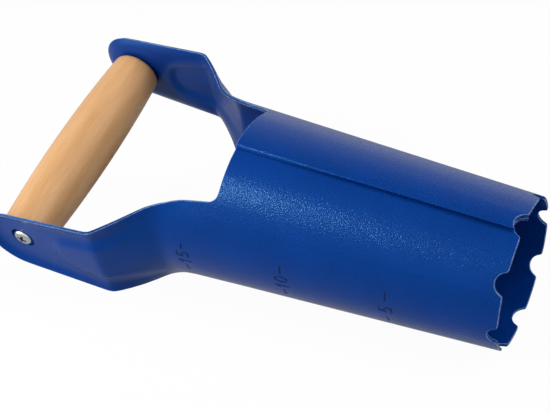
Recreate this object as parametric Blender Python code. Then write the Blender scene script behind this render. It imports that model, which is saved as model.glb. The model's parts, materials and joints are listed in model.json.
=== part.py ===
"""Bulb planter: a toothed, tapered tube rolled from one sheet, whose two arms hold a wooden grip.

The tool lies on the ground as it comes to rest there, on its tube's wall and one of its arms. +X
points out of the toothed mouth, +Z is up, and the origin is at the bottom centre. All lengths are
in metres.

While it is built, the tool's own axis is the X axis, the grip runs along Y, the lap seam is on top
and the teeth stand at x = 0, so a reach is the distance from the teeth back towards the grip. The
last step lays the pieces down.
"""

import math

import bmesh
import bpy
from mathutils import Euler, Vector

# Sheet and tube
SHEET = 0.0015
TEETH_RADIUS = 0.0353
RIM_RADIUS = 0.0426
TUBE_LENGTH = 0.1338

# Lap seam: the far sheet lies over the near one and stands off a little more at the teeth
LAP_WIDTH = 0.010
LAP_GAP_AT_RIM = 0.0003
LAP_GAP_AT_TEETH = 0.0007
SEAM_DEGREES = 4.3

# Punched teeth
NOTCHES = 8
FIRST_NOTCH_DEGREES = -2.0
NOTCH_RADIUS = 0.0054
NOTCH_DEPTH = 0.0046
TOOTH_CORNER = 0.0012
NOTCH_MARGIN = 0.0026

# Arms: where they bend, how far apart they end, and how wide they are
ROOT_FILLET = 0.005
ELBOW_FROM_RIM = 0.0275
ELBOW_BEND = 0.013
SHOULDER_FROM_ELBOW = 0.0267
SHOULDER_BEND = 0.009
GRIP_FROM_SHOULDER = 0.0447
WEB_SPREAD = 0.0592
ROOT_HALF_WIDTH = 0.0350
SHOULDER_HALF_WIDTH = 0.0238
ELBOW_NARROWING = 0.0032
TIP_RADIUS = 0.0195

# Flared border of an arm
BORDER = 0.0058
SHOULDER_FLARE = 0.0011
TIP_FLARE = 0.0032

# Panel of an arm, pressed outwards
PANEL_RISE = 0.0018
PANEL_STEP = 0.0062
PANEL_FROM_EDGE = 0.0105
PANEL_END_RADIUS = 0.0106
PANEL_END_FROM_SHOULDER = 0.0245

# Cup pressed into an arm for the screw's head
CUP_RADIUS = 0.00625
CUP_DEPTH = 0.0020

# Grip
GRIP_END_RADIUS = 0.0125
GRIP_MIDDLE_RADIUS = 0.0147
GRIP_END_ROUND = 0.0030

# Screws
SCREW_HEAD_RADIUS = 0.00475
SCREW_HEAD_HEIGHT = 0.0030
SCREW_HEAD_ROUND = 0.0014
SCREW_SHANK_RADIUS = 0.0022
SCREW_LENGTH = 0.028
SCREW_POINT = 0.006
RECESS_SPAN = 0.0050
RECESS_WIDTH = 0.0011
RECESS_DEPTH = 0.0015

# Clearance between pieces that rest on each other, the overrun of every cut, and how close two
# points of a turned shape are before they are joined
SEAT_GAP = 0.0003
OVERRUN = 0.004
JOIN_DISTANCE = 0.000003

# Faces that meet at more than this angle keep a sharp edge
SHARP_DEGREES = 35.0

# Counts of faces along each stretch
NOTCH_STEPS = 4
CORNER_STEPS = 2
CREST_STEPS = 3
BORDER_STEPS = 3
WEB_STEPS = 3
STEP_STEPS = 5
FLAT_STEPS = 4
FILLET_STEPS = 4
LAP_STEPS = 3
TUBE_STEPS = 3
ROOT_STEPS = 3
BEND_STEPS = 4
SLANT_STEPS = 2
SIDE_STEPS = 3
TIP_SIDE_STEPS = 4
TIP_ARC_STEPS = 8
ROUND_STEPS = 4
BARREL_STEPS = 10
GRIP_SEGMENTS = 36
SCREW_SEGMENTS = 24
CUP_SEGMENTS = 32

# Sizes that follow from the ones above
ROOT_REACH = TUBE_LENGTH + ROOT_FILLET
ELBOW_REACH = TUBE_LENGTH + ELBOW_FROM_RIM
SHOULDER_REACH = ELBOW_REACH + SHOULDER_FROM_ELBOW
PANEL_END_REACH = SHOULDER_REACH + PANEL_END_FROM_SHOULDER
GRIP_REACH = SHOULDER_REACH + GRIP_FROM_SHOULDER
TIP_REACH = GRIP_REACH + TIP_RADIUS
WEB_INSIDE = WEB_SPREAD - SHEET
CUP_WALL_RADIUS = CUP_RADIUS + SHEET
CUP_FLOOR = WEB_SPREAD - CUP_DEPTH
CUP_INSIDE = CUP_FLOOR - SHEET
SCREW_HOLE_RADIUS = SCREW_SHANK_RADIUS + SEAT_GAP
HEAD_SEAT = CUP_FLOOR + SEAT_GAP
GRIP_HALF = WEB_INSIDE - SEAT_GAP

NEAR, FAR = -1, 1
NEAR_DEGREES = 90.0
FAR_DEGREES = 270.0


def clear_scene():
    for thing in list(bpy.data.objects):
        bpy.data.objects.remove(thing, do_unlink=True)


def mix(a, b, share):
    return a + (b - a) * share


def eased(value, start, end):
    """Goes smoothly from 0 at start to 1 at end."""
    share = min(max((value - start) / (end - start), 0.0), 1.0)
    return share * share * (3 - 2 * share)


def spaced(start, end, steps):
    """The places that divide start..end in equal steps, without start itself."""
    return [mix(start, end, i / steps) for i in range(1, steps + 1)]


# The tube's wall

def cone_radius(reach):
    return mix(TEETH_RADIUS, RIM_RADIUS, reach / TUBE_LENGTH)


def winding(angle, reach):
    """The wall is round but winds outwards near the seam, where its far end lies over its near end."""
    gap = mix(LAP_GAP_AT_TEETH, LAP_GAP_AT_RIM, min(reach / TUBE_LENGTH, 1.0))
    turn = angle / math.pi - 1
    return (SHEET + gap) / 2 * turn ** 3


def tube_point(angle, reach):
    """A point of the wall's outside. The angle runs from the top over the near side."""
    radius = cone_radius(reach) + winding(angle, reach)
    return Vector((-reach, -radius * math.sin(angle), radius * math.cos(angle)))


# The toothed edge

def half_notch():
    """(distance round the edge, depth) from the middle of a notch to the flat crest of a tooth."""
    centre = NOTCH_DEPTH - NOTCH_RADIUS
    last = math.acos((TOOTH_CORNER - centre) / NOTCH_RADIUS)
    points = []
    for i in range(NOTCH_STEPS + 1):
        turn = last * i / NOTCH_STEPS
        points.append((NOTCH_RADIUS * math.sin(turn), centre + NOTCH_RADIUS * math.cos(turn)))
    side = points[-1][0]
    for i in range(1, CORNER_STEPS + 1):
        turn = math.pi / 2 * i / CORNER_STEPS
        points.append((side + TOOTH_CORNER * (1 - math.cos(turn)), TOOTH_CORNER * (1 - math.sin(turn))))
    return points


def one_tooth():
    """(distance, depth) from the middle of one notch to the middle of the next."""
    pitch = math.tau * TEETH_RADIUS / NOTCHES
    half = half_notch()
    crest = [(place, 0) for place in spaced(half[-1][0], pitch - half[-1][0], CREST_STEPS)[:-1]]
    return half + crest + [(pitch - place, depth) for place, depth in reversed(half)]


def notch_depth_at(distance):
    """The depth of the notch at a distance from its middle."""
    points = half_notch()
    for (a, depth_a), (b, depth_b) in zip(points, points[1:]):
        if a <= distance <= b:
            return mix(depth_a, depth_b, (distance - a) / (b - a))
    return 0


# The arms' centre line, as straight and bent stretches in the plane of reach and spread

def arm_stretches():
    """(start reach, start spread, start slope, length, turn) of each stretch from root to tip."""
    corners = [(ROOT_REACH, cone_radius(ROOT_REACH)), (ELBOW_REACH, cone_radius(ELBOW_REACH)),
               (SHOULDER_REACH, WEB_SPREAD), (TIP_REACH, WEB_SPREAD)]
    bends = [0, ELBOW_BEND, SHOULDER_BEND, 0]
    slopes = []
    for (x0, y0), (x1, y1) in zip(corners, corners[1:]):
        slopes.append(math.atan2(y1 - y0, x1 - x0))
    turns = [0] + [b - a for a, b in zip(slopes, slopes[1:])] + [0]
    trims = [radius * math.tan(abs(turn) / 2) for radius, turn in zip(bends, turns)]
    stretches = []
    for i, slope in enumerate(slopes):
        (x0, y0), (x1, y1) = corners[i], corners[i + 1]
        length = math.hypot(x1 - x0, y1 - y0) - trims[i] - trims[i + 1]
        start = (x0 + trims[i] * math.cos(slope), y0 + trims[i] * math.sin(slope))
        stretches.append((*start, slope, length, 0))
        if turns[i + 1]:
            end = (x1 - trims[i + 1] * math.cos(slope), y1 - trims[i + 1] * math.sin(slope))
            stretches.append((*end, slope, bends[i + 1] * abs(turns[i + 1]), turns[i + 1]))
    return stretches


STRETCHES = arm_stretches()
ENDS = [sum(stretch[3] for stretch in STRETCHES[:i + 1]) for i in range(len(STRETCHES))]
ELBOW_START, ELBOW_END, SHOULDER_START, SHOULDER_END, TIP_END = ENDS
SHOULDER = mix(SHOULDER_START, SHOULDER_END, 0.5)
TIP_CENTRE = TIP_END - TIP_RADIUS
PANEL_END = TIP_END - (TIP_REACH - PANEL_END_REACH)
FAN_CENTRE = PANEL_END - PANEL_END_RADIUS


def arm_line(run):
    """(reach, spread, slope) at a length run along the arm from its root."""
    for (x, y, slope, length, turn), end in zip(STRETCHES, ENDS):
        if run <= end or end == ENDS[-1]:
            part = run - (end - length)
            break
    if not turn:
        return x + part * math.cos(slope), y + part * math.sin(slope), slope
    curve = turn / length
    here = slope + curve * part
    return (x + (math.sin(here) - math.sin(slope)) / curve,
            y + (math.cos(slope) - math.cos(here)) / curve, here)


def half_width(run):
    if run < SHOULDER:
        plain = mix(ROOT_HALF_WIDTH, SHOULDER_HALF_WIDTH + ELBOW_NARROWING, run / SHOULDER)
        return plain - ELBOW_NARROWING * eased(run, ELBOW_START - ELBOW_BEND / 2, ELBOW_END)
    return mix(SHOULDER_HALF_WIDTH, TIP_RADIUS, min((run - SHOULDER) / (TIP_CENTRE - SHOULDER), 1.0))


def panel_half(run):
    if run < SHOULDER:
        return half_width(run) - PANEL_FROM_EDGE
    start = SHOULDER_HALF_WIDTH - PANEL_FROM_EDGE
    return mix(start, PANEL_END_RADIUS, (run - SHOULDER) / (FAN_CENTRE - SHOULDER))


def flare(run):
    if run < SHOULDER:
        return SHOULDER_FLARE * eased(run, ELBOW_START, SHOULDER)
    return mix(SHOULDER_FLARE, TIP_FLARE, (run - SHOULDER) / (TIP_END - SHOULDER))


def panel_rise(run):
    return PANEL_RISE * eased(run, ELBOW_START, SHOULDER_START)


def arm_heights(run):
    """Height of the surface over the web for each line of points from the edge to the middle."""
    rise = panel_rise(run)
    lip = flare(run)
    border = [lip * (1 - i / BORDER_STEPS) ** 2 for i in range(BORDER_STEPS + 1)]
    step = [rise * eased(i / STEP_STEPS, 0, 1) for i in range(1, STEP_STEPS + 1)]
    return border + [0] * WEB_STEPS + step + [rise] * FLAT_STEPS


def arm_places(run):
    """Distance from the middle for each line of points from the edge to the middle."""
    wide, panel = half_width(run), panel_half(run)
    inner, outer = panel - PANEL_STEP / 2, panel + PANEL_STEP / 2
    places = [wide] + spaced(wide, wide - BORDER, BORDER_STEPS)
    places += spaced(wide - BORDER, outer, WEB_STEPS)
    places += spaced(outer, inner, STEP_STEPS)
    return places + spaced(inner, 0, FLAT_STEPS)


def arm_point(side, run, across, height):
    """A point of an arm's outside. Its section opens from the tube's round to a flat web."""
    reach, spread, slope = arm_line(run)
    flat = eased(run, ELBOW_START - ELBOW_BEND / 2, SHOULDER)
    radius = cone_radius(reach)
    middle = math.radians(NEAR_DEGREES if side == NEAR else FAR_DEGREES)
    height = height + winding(middle + side * across / radius, reach) * (1 - flat)
    if flat < 1:
        bend = (1 - flat) / radius
        out = (math.cos(across * bend) - 1) / bend + height * math.cos(across * bend)
        up = math.sin(across * bend) / bend + height * math.sin(across * bend)
    else:
        out, up = height, across
    lean = slope * eased(run, 0, ELBOW_START)
    return Vector((-(reach - math.sin(lean) * out), side * (spread + math.cos(lean) * out), up))


# The sheet: one grid of faces over the tube, with both arms growing out of its rim

def rim_angles():
    """The rim angle and reach of every line of points that runs from the teeth to the rim."""
    tooth = len(one_tooth()) - 1
    start = math.radians(FIRST_NOTCH_DEGREES)
    round_share = ROOT_FILLET / RIM_RADIUS
    roots = [place / cone_radius(ROOT_REACH) for place in arm_places(0)]
    arm = [-place for place in roots] + list(reversed(roots))[1:]
    turns = [math.pi / 2 * i / FILLET_STEPS for i in range(FILLET_STEPS + 1)]
    fillet = [(math.sin(turn), ROOT_FILLET * (1 - math.cos(turn))) for turn in turns]

    near, far = math.radians(NEAR_DEGREES), math.radians(FAR_DEGREES)
    lines = [(start, TUBE_LENGTH)]

    def plain_to_arm(end, steps):
        for angle in spaced(lines[-1][0], end - round_share, steps):
            lines.append((angle, TUBE_LENGTH))
        for share, rise in fillet[1:]:
            lines.append((end - round_share * (1 - share), TUBE_LENGTH + rise))

    def arm_and_fillet(middle):
        lines.extend((middle + place, ROOT_REACH) for place in arm[1:])
        last = lines[-1][0]
        for share, rise in reversed(fillet[:-1]):
            lines.append((last + round_share * (1 - share), TUBE_LENGTH + rise))

    plain_to_arm(near - roots[0], tooth - FILLET_STEPS)
    arm_and_fillet(near)
    plain_to_arm(far - roots[0], 2 * (tooth - FILLET_STEPS))
    arm_and_fillet(far)
    for angle in spaced(lines[-1][0], start + math.tau, tooth - FILLET_STEPS):
        lines.append((angle, TUBE_LENGTH))
    return lines


def teeth_angles():
    """The angle and reach of the same lines at the toothed edge."""
    lines = [(math.radians(FIRST_NOTCH_DEGREES), NOTCH_DEPTH)]
    for i in range(NOTCHES):
        start = math.radians(FIRST_NOTCH_DEGREES) + math.tau * i / NOTCHES
        lines += [(start + place / TEETH_RADIUS, depth) for place, depth in one_tooth()[1:]]
    return lines


def wall_lines():
    """(teeth angle, teeth reach, rim angle, rim reach) for every line, laps included."""
    lines = [(*low, *high) for low, high in zip(teeth_angles(), rim_angles())]
    seam = math.radians(SEAM_DEGREES)
    first = lines[0][0]

    def lap_line(low, high):
        return low, notch_depth_at(abs(low - first) * TEETH_RADIUS), high, TUBE_LENGTH

    hidden = []
    low_edge, high_edge = seam - LAP_WIDTH / TEETH_RADIUS, seam - LAP_WIDTH / RIM_RADIUS
    steps = NOTCH_STEPS + CORNER_STEPS
    for share in [i / steps for i in range(steps)]:
        hidden.append(lap_line(mix(low_edge, first, share), mix(high_edge, first, share)))
    shown = []
    for share in spaced(0, 1, LAP_STEPS):
        low, reach, high, rim = lap_line(mix(first, seam, share), mix(first, seam, share))
        shown.append((low + math.tau, reach, high + math.tau, rim))
    return hidden + lines + shown, len(hidden)


def wall_rows(bm, lines):
    """The tube's points, row by row, from the toothed edge to the rim."""
    clear = NOTCH_DEPTH + NOTCH_MARGIN
    rows = [[bm.verts.new(tube_point(low, reach)) for low, reach, high, rim in lines]]
    for share in [0] + spaced(0, 1, TUBE_STEPS):
        row = []
        for low, reach, high, rim in lines:
            row.append(bm.verts.new(tube_point(mix(low, high, share), mix(clear, rim, share))))
        rows.append(row)
    return rows


def add_strip(bm, row, following):
    """Faces between two rows of points. The following row lies further back."""
    for i in range(len(row) - 1):
        corners = []
        for corner in (row[i], following[i], following[i + 1], row[i + 1]):
            if corner not in corners:
                corners.append(corner)
        bm.faces.new(corners)


def add_arm(bm, side, root):
    """Grows one arm from its row of points on the rim: straight rows, then a fan round the tip."""
    runs = spaced(0, ELBOW_START, ROOT_STEPS) + spaced(ELBOW_START, ELBOW_END, BEND_STEPS)
    runs += spaced(ELBOW_END, SHOULDER_START, SLANT_STEPS)
    runs += spaced(SHOULDER_START, SHOULDER_END, BEND_STEPS)
    runs += spaced(SHOULDER_END, FAN_CENTRE, SIDE_STEPS)
    row = root
    for run in runs:
        places, heights = arm_places(run), arm_heights(run)
        first_half = list(zip([-side * place for place in places], heights))
        second_half = [(-across, height) for across, height in reversed(first_half[:-1])]
        following = []
        for across, height in first_half + second_half:
            following.append(bm.verts.new(arm_point(side, run, across, height)))
        add_strip(bm, row, following)
        row = following

    middle = len(row) // 2
    pole = row[middle]
    rays = [row[:middle + 1]]
    for outline, inward, turn in tip_outline():
        rays.append(add_ray(bm, side, outline, inward, turn, pole))
    rays.append(list(reversed(row[middle:])))
    for ray, following in zip(rays, rays[1:]):
        for k in range(len(ray) - 1):
            corners = [ray[k], following[k], following[k + 1]]
            if ray[k + 1] is not following[k + 1]:
                corners.append(ray[k + 1])
            bm.faces.new(corners)


def tip_outline():
    """(edge point, inward direction, fan turn) round the tip, in run and across, from one side on."""
    wide = half_width(FAN_CENTRE)
    side = [(run, mix(wide, TIP_RADIUS, (run - FAN_CENTRE) / (TIP_CENTRE - FAN_CENTRE)))
            for run in spaced(FAN_CENTRE, TIP_CENTRE, TIP_SIDE_STEPS)]
    first = [((run, across), (0, -1)) for run, across in side]
    for turn in spaced(math.pi / 2, 0, TIP_ARC_STEPS):
        edge = (TIP_CENTRE + TIP_RADIUS * math.cos(turn), TIP_RADIUS * math.sin(turn))
        first.append((edge, (-math.cos(turn), -math.sin(turn))))
    second = [((run, -across), (a, -b)) for (run, across), (a, b) in reversed(first[:-1])]
    total = len(first) + len(second) + 1
    rays = []
    for i, (edge, inward) in enumerate(first + second):
        rays.append((edge, inward, math.pi / 2 - math.pi * (i + 1) / total))
    return rays


def add_ray(bm, side, edge, inward, turn, pole):
    """One line of points from the tip's edge to the centre of the panel's round end."""
    heights = arm_heights(FAN_CENTRE)
    lip = flare(edge[0])
    wide = Vector((math.cos(turn), math.sin(turn)))
    centre = Vector((FAN_CENTRE, 0))
    edge, inward = Vector(edge), Vector(inward)
    outer = centre + wide * (PANEL_END_RADIUS + PANEL_STEP / 2)
    inner = centre + wide * (PANEL_END_RADIUS - PANEL_STEP / 2)
    border = edge + inward * BORDER
    places = [edge]
    for start, end, steps in ((edge, border, BORDER_STEPS), (border, outer, WEB_STEPS),
                              (outer, inner, STEP_STEPS), (inner, centre, FLAT_STEPS)):
        places += [start.lerp(end, share) for share in spaced(0, 1, steps)]
    ray = []
    for k, place in enumerate(places[:-1]):
        height = heights[k]
        if k <= BORDER_STEPS:
            height = lip * (1 - k / BORDER_STEPS) ** 2
        ray.append(bm.verts.new(arm_point(side, place.x, -side * place.y, height)))
    return ray + [pole]


def give_thickness(bm, wall_points):
    """Adds the sheet's inside and closes its cut edge. The tube's inside stays level with its outside."""
    bm.normal_update()
    outside = list(bm.verts)
    faces = list(bm.faces)
    edges = [edge for edge in bm.edges if edge.is_boundary]
    inside = {}
    for point in outside:
        away = point.normal
        if point in wall_points:
            away = Vector((0, point.co.y, point.co.z)).normalized()
        inside[point] = bm.verts.new(point.co - away * SHEET)
    for face in faces:
        bm.faces.new([inside[point] for point in reversed(face.verts)])
    for edge in edges:
        loop = edge.link_loops[0]
        start, end = loop.vert, loop.link_loop_next.vert
        bm.faces.new([end, start, inside[start], inside[end]])


def make_sheet():
    bm = bmesh.new()
    lines, hidden = wall_lines()
    rows = wall_rows(bm, lines)
    for row, following in zip(rows, rows[1:]):
        add_strip(bm, row, following)
    wall_points = {point for row in rows for point in row}
    tooth = len(one_tooth()) - 1
    near_start = hidden + tooth
    far_start = hidden + NOTCHES // 2 * tooth + tooth
    add_arm(bm, NEAR, rows[-1][near_start:near_start + 2 * tooth + 1])
    add_arm(bm, FAR, rows[-1][far_start:far_start + 2 * tooth + 1])
    give_thickness(bm, wall_points)
    return bm


# Turned shapes and cuts

def turned(profile, segments, place):
    """Turns a profile of (radius, height) round its axis, which then points along Y."""
    bm = bmesh.new()
    points = [bm.verts.new((radius, height, 0)) for radius, height in profile]
    edges = [bm.edges.new(pair) for pair in zip(points, points[1:])]
    bmesh.ops.spin(bm, geom=points + edges, cent=(0, 0, 0), axis=(0, 1, 0), angle=math.tau,
                   steps=segments, use_merge=True)
    bmesh.ops.remove_doubles(bm, verts=bm.verts, dist=JOIN_DISTANCE)
    bmesh.ops.recalc_face_normals(bm, faces=bm.faces)
    bmesh.ops.translate(bm, verts=bm.verts, vec=place)
    return bm


def make_object(name, bm, material=None):
    mesh = bpy.data.meshes.new(name)
    bm.to_mesh(mesh)
    bm.free()
    thing = bpy.data.objects.new(name, mesh)
    bpy.context.scene.collection.objects.link(thing)
    if material:
        mesh.materials.append(material)
        mesh.shade_smooth()
        mesh.set_sharp_from_angle(angle=math.radians(SHARP_DEGREES))
    return thing


def make_cutter(name, bm):
    cutter = make_object(name, bm)
    cutter.hide_render = True
    cutter.display_type = "WIRE"
    return cutter


def add_boolean(thing, cutter, operation):
    modifier = thing.modifiers.new(cutter.name, "BOOLEAN")
    modifier.operation = operation
    modifier.solver = "EXACT"
    modifier.object = cutter


def make_material(name, colour, roughness, metallic):
    material = bpy.data.materials.new(name)
    material.use_nodes = True
    shader = material.node_tree.nodes["Principled BSDF"]
    shader.inputs["Base Color"].default_value = (*colour, 1)
    shader.inputs["Roughness"].default_value = roughness
    shader.inputs["Metallic"].default_value = metallic
    return material


def across_web(profile, side):
    """Turns a profile of (radius, spread) round the screws' axis, its flat ends as single faces."""
    mirrored = [(radius, side * spread) for radius, spread in profile]
    bm = turned(mirrored, CUP_SEGMENTS, (-GRIP_REACH, 0, 0))
    flat = [face for face in bm.faces if len(face.verts) == 3]
    bmesh.ops.dissolve_faces(bm, faces=flat, use_verts=True)
    return bm


def make_body(material):
    """The sheet, with a cup pressed into each arm: a boss on its inside and a stepped bore."""
    body = make_object("planter_body", make_sheet(), material)
    inside_sheet = mix(WEB_INSIDE, WEB_SPREAD, 0.5)
    boss = [(0, CUP_INSIDE), (CUP_WALL_RADIUS, CUP_INSIDE), (CUP_WALL_RADIUS, inside_sheet),
            (0, inside_sheet)]
    bore = [(0, CUP_INSIDE - OVERRUN), (SCREW_HOLE_RADIUS, CUP_INSIDE - OVERRUN),
            (SCREW_HOLE_RADIUS, CUP_FLOOR), (CUP_RADIUS, CUP_FLOOR),
            (CUP_RADIUS, WEB_SPREAD + OVERRUN), (0, WEB_SPREAD + OVERRUN)]
    for side, label in ((NEAR, "right"), (FAR, "left")):
        add_boolean(body, make_cutter(label + "_cup_boss", across_web(boss, side)), "UNION")
        add_boolean(body, make_cutter(label + "_cup_bore", across_web(bore, side)), "DIFFERENCE")
    return body


def barrel_radius(place):
    share = place / GRIP_HALF
    return mix(GRIP_MIDDLE_RADIUS, GRIP_END_RADIUS, share * share)


def make_grip(material):
    """A barrel with rounded ends, counterbored for the cups and drilled for the screws."""
    bore_end = HEAD_SEAT - SCREW_LENGTH - SEAT_GAP
    counterbore = CUP_INSIDE - SEAT_GAP
    counterbore_radius = CUP_WALL_RADIUS + SEAT_GAP
    half = [(0, bore_end), (SCREW_HOLE_RADIUS, bore_end), (SCREW_HOLE_RADIUS, counterbore),
            (counterbore_radius, counterbore), (counterbore_radius, GRIP_HALF)]
    corner = GRIP_HALF - GRIP_END_ROUND
    middle = barrel_radius(corner) - GRIP_END_ROUND
    for turn in [math.pi / 2 * i / ROUND_STEPS for i in range(ROUND_STEPS + 1)]:
        half.append((middle + GRIP_END_ROUND * math.sin(turn), corner + GRIP_END_ROUND * math.cos(turn)))
    half += [(barrel_radius(place), place) for place in spaced(corner, 0, BARREL_STEPS // 2)[:-1]]
    profile = half + [(barrel_radius(0), 0)] + [(radius, -place) for radius, place in reversed(half)]
    return make_object("grip", turned(profile, GRIP_SEGMENTS, (-GRIP_REACH, 0, 0)), material)


def make_screw(name, side, material):
    """A pan-head wood screw, its head's underside just off the floor of the cup."""
    top = HEAD_SEAT + SCREW_HEAD_HEIGHT
    flat = SCREW_HEAD_RADIUS - SCREW_HEAD_ROUND
    profile = [(0, top)]
    for turn in [math.pi / 2 * i / ROUND_STEPS for i in range(ROUND_STEPS + 1)]:
        profile.append((flat + SCREW_HEAD_ROUND * math.sin(turn),
                        top - SCREW_HEAD_ROUND * (1 - math.cos(turn))))
    profile += [(SCREW_HEAD_RADIUS, HEAD_SEAT), (SCREW_SHANK_RADIUS, HEAD_SEAT)]
    profile += [(SCREW_SHANK_RADIUS, HEAD_SEAT - SCREW_LENGTH + SCREW_POINT), (0, HEAD_SEAT - SCREW_LENGTH)]
    profile = [(radius, side * place) for radius, place in profile]
    screw = make_object(name, turned(profile, SCREW_SEGMENTS, (-GRIP_REACH, 0, 0)), material)

    spans = ((RECESS_SPAN, RECESS_WIDTH), (RECESS_WIDTH, RECESS_SPAN))
    for label, (wide, tall) in zip(("_recess_long", "_recess_cross"), spans):
        slot = bmesh.new()
        bmesh.ops.create_cube(slot, size=1)
        bmesh.ops.scale(slot, verts=slot.verts, vec=(wide, 2 * RECESS_DEPTH, tall))
        bmesh.ops.translate(slot, verts=slot.verts, vec=(-GRIP_REACH, side * top, 0))
        add_boolean(screw, make_cutter(name + label, slot), "DIFFERENCE")
    return screw


# The way the tool lies

def touching_roll(corners):
    """The roll about the tube's axis at which the near arm meets the ground under the tube's wall."""
    rolls = []
    for corner in corners:
        out = math.hypot(corner.y, corner.z)
        wall = cone_radius(-corner.x)
        if corner.y < 0 and -corner.x > ROOT_REACH and out > wall:
            rolls.append(math.asin(wall / out) - math.atan2(-corner.z, -corner.y))
    return min(rolls)


def lay_down(pieces):
    """Turns and moves everything with one empty, so that the tool's middle is over the origin."""
    bpy.context.view_layer.update()
    shown = bpy.context.evaluated_depsgraph_get()
    corners = []
    for piece in pieces:
        corners += [vertex.co.copy() for vertex in piece.evaluated_get(shown).data.vertices]
    pitch = math.atan2(RIM_RADIUS - TEETH_RADIUS, TUBE_LENGTH)
    turn = Euler((touching_roll(corners), pitch, 0))
    matrix = turn.to_matrix()
    corners = [matrix @ corner for corner in corners]
    low = Vector(min(corner[i] for corner in corners) for i in range(3))
    high = Vector(max(corner[i] for corner in corners) for i in range(3))

    lying = bpy.data.objects.new("lying_tool", None)
    for thing in bpy.context.scene.objects:
        thing.parent = lying
    bpy.context.scene.collection.objects.link(lying)
    lying.rotation_euler = turn
    lying.location = (-(low.x + high.x) / 2, -(low.y + high.y) / 2, -low.z)


def main():
    clear_scene()
    blue = make_material("blue_powder_coat", (0.005, 0.040, 0.260), 0.38, 0)
    beech = make_material("lacquered_beech", (0.640, 0.370, 0.150), 0.42, 0)
    zinc = make_material("bright_zinc", (0.720, 0.740, 0.760), 0.28, 1)
    body = make_body(blue)
    grip = make_grip(beech)
    screws = [make_screw("grip_screw_right", NEAR, zinc), make_screw("grip_screw_left", FAR, zinc)]
    lay_down([body, grip] + screws)


main()
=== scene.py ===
# %% [markdown]
# # A hand bulb planter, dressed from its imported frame
#
# The tool is a tube with a toothed mouth, rolled from one sheet of steel. Two arms of the same
# sheet hold a turned wooden grip with a screw at each end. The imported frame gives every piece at
# its real size and place. This lesson rounds the sheet's edges, stamps its depth marks and coats
# it with blue powder. Then it turns the grip from beech, makes the screws, and sets up a plain
# white studio.
#
# Everything is in metres, and +Z is up. The tool lies on the floor, which is at z = 0.

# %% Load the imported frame
import json
import math

import bmesh
import bpy
from mathutils import Matrix, Vector


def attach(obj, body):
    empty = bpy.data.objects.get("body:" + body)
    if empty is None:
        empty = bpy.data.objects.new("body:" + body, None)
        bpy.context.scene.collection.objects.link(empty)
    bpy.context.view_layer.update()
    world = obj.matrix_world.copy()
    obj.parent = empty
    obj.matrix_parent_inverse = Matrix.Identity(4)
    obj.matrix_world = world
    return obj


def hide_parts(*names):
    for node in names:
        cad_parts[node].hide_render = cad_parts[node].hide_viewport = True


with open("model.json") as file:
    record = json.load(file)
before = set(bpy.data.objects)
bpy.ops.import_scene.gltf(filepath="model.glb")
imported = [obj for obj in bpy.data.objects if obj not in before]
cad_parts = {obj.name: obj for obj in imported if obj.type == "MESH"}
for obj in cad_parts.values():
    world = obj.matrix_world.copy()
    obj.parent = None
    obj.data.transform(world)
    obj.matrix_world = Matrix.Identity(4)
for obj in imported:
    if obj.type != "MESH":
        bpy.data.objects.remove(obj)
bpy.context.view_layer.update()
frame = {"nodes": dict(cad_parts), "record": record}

MM = 0.001
print("nodes:", ", ".join(sorted(frame["nodes"])))

# %% [markdown]
# ## The tool's own axes
#
# The tool rests on its tube's wall and on one arm, so its axis points a little down and its grip
# leans. It is easier to think along the tool itself. So the first step finds its axes: x runs
# out of the mouth, y runs along the grip to the far screw, and z runs to the side with the lap
# seam. The teeth stand in the plane x = 0. The mount on the teeth gives the tube's direction,
# and the two screws give the grip's.

# %% Find the tool's axes
POINT_MERGE = 0.005 * MM


def merged_copy(node):
    """A bmesh of a CAD node with its loose triangles joined at their shared points."""
    bm = bmesh.new()
    bm.from_mesh(frame["nodes"][node].data)
    bmesh.ops.remove_doubles(bm, verts=bm.verts, dist=POINT_MERGE)
    return bm


def middle(node):
    """The mean of a node's points."""
    bm = merged_copy(node)
    total = sum((vert.co for vert in bm.verts), Vector())
    count = len(bm.verts)
    bm.free()
    return total / count


teeth_mount = frame["record"]["mounts"][0]
near_screw = middle("grip_screw_right")
far_screw = middle("grip_screw_left")
grip_centre = (near_screw + far_screw) / 2
along = Vector(teeth_mount["axis"]).normalized()
across = far_screw - near_screw
across = (across - along * across.dot(along)).normalized()
upward = along.cross(across)
reach = along.dot(Vector(teeth_mount["pos_m"]) - grip_centre)
tool = Matrix((along, across, upward)).transposed().to_4x4()
tool.translation = grip_centre + along * reach
to_tool = tool.inverted()
print(f"the axis droops {math.degrees(math.asin(-along.z)):.2f} degrees")
print(f"the grip leans {math.degrees(math.asin(across.z)):.2f} degrees")
print(f"the grip's centre is {reach / MM:.2f} mm behind the teeth")

# %% [markdown]
# ## Helpers for pieces
#
# Every finished piece is an object at the origin with its place in its mesh. So one helper only
# makes the mesh, links the object, hangs it on the body "root" and hides the node of the frame
# that it stands for. Its Weighted Normal modifier lets large faces lead the shading, so that a
# bevel's narrow ones don't bend it.
# Another helper lets Blender evaluate a modifier, such as a subdivision or a cut, and gives the
# result back as a bmesh, so that the next operators can go on with it.

# %% Make pieces
def make_piece(name, bm, material, node):
    """Links a finished bmesh as a piece that stands for a node of the frame."""
    mesh = bpy.data.meshes.new(name)
    bm.to_mesh(mesh)
    bm.free()
    mesh.materials.append(material)
    mesh.shade_smooth()
    piece = bpy.data.objects.new(name, mesh)
    bpy.context.scene.collection.objects.link(piece)
    piece.modifiers.new("weighted_normals", "WEIGHTED_NORMAL")
    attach(piece, "root")
    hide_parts(node)
    print(f"{name}: {len(mesh.vertices)} points, {len(mesh.polygons)} faces")


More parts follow.
